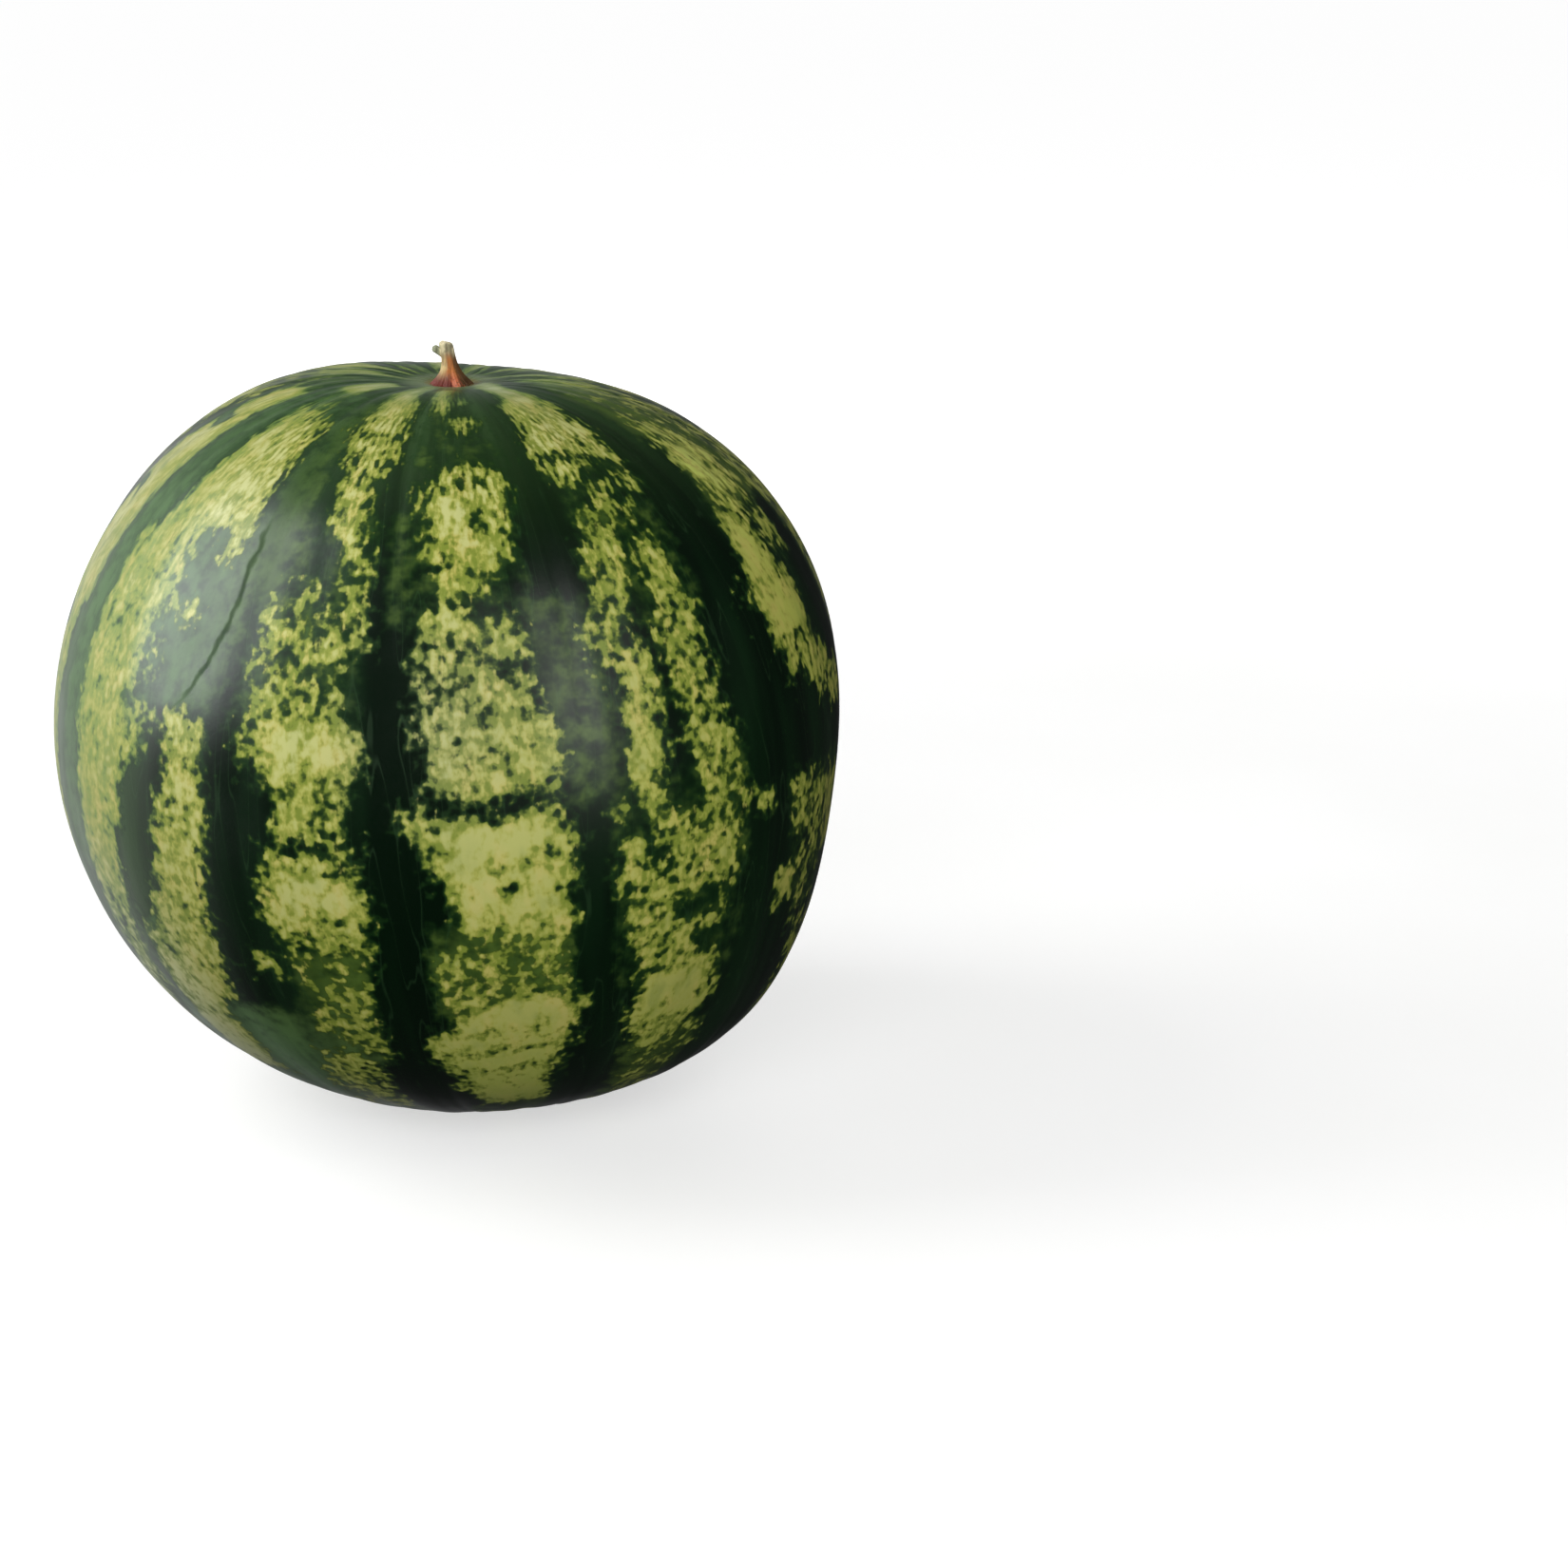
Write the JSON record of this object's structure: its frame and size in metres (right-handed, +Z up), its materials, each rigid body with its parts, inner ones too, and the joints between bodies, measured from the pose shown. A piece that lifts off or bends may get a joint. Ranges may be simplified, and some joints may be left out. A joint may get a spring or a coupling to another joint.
{
  "type": "watermelon",
  "caption": "Whole round striped watermelon with a dried stem stub, a slightly hollow stem end and a small flat spot underneath that it rests on.",
  "frame": {"origin": "middle of the small flat spot underneath that the fruit rests on", "axes": "+Z up through the fruit towards the stem, +X to the right and -Y towards a viewer who faces the clearest stripes"},
  "size_m": [0.2742, 0.278, 0.2697],
  "materials": {
    "rind": "smooth waxy rind, dark green with broken pale yellow-green stripes from stem to blossom end",
    "dried_stem": "dry fibrous stalk, reddish brown at the ridged foot and pale tan at the broken tip"
  },
  "bodies": {
    "root": {"melon": "rind", "stem": "dried_stem"}
  },
  "joints": []
}
